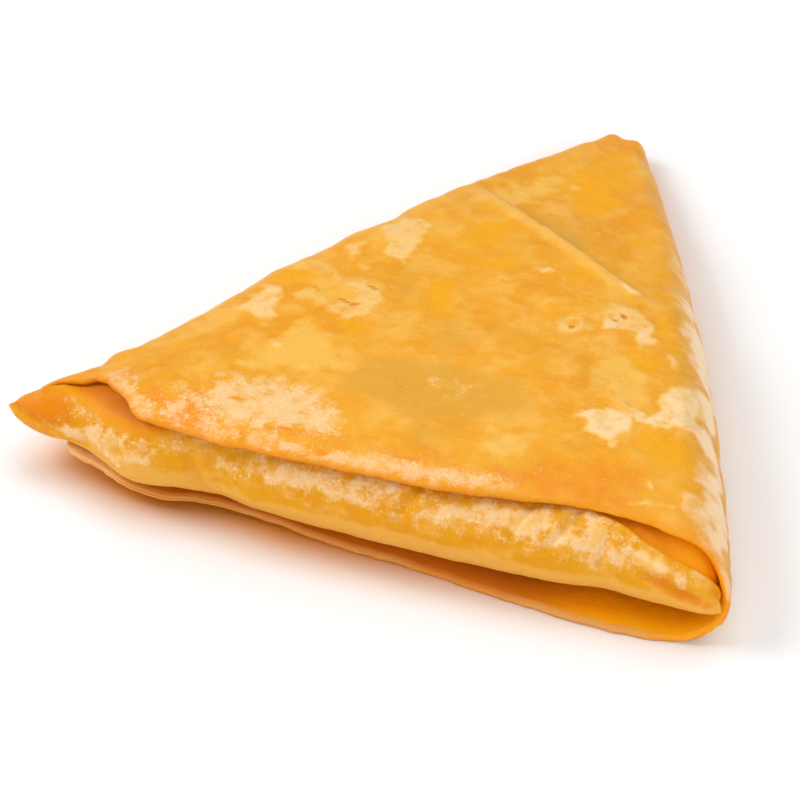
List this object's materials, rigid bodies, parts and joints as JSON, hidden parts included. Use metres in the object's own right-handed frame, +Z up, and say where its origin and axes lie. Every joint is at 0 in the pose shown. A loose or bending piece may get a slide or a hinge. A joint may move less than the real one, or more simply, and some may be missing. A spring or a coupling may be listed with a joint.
{
  "type": "folded samosa",
  "caption": "Flat triangular fried samosa: a folded sheet envelope, open along one side, round a filled packet whose rolled edge shows at the mouth.",
  "frame": {"origin": "centre of the footprint, on the surface that the samosa lies on", "axes": "+X along the open side, from the packet's protruding tip to the right-hand fold; +Y from the open side to the closed tip; +Z up, through the thickness"},
  "size_m": [0.1044, 0.1034, 0.0167],
  "materials": {
    "golden_dough": "fried golden dough, oily satin, with cream blisters and a browner rim",
    "pale_dough": "paler fried dough, oily satin, with a rough frosted band along the roll"
  },
  "bodies": {
    "root": {"outer_envelope": "golden_dough", "inner_packet": "pale_dough"}
  },
  "joints": []
}
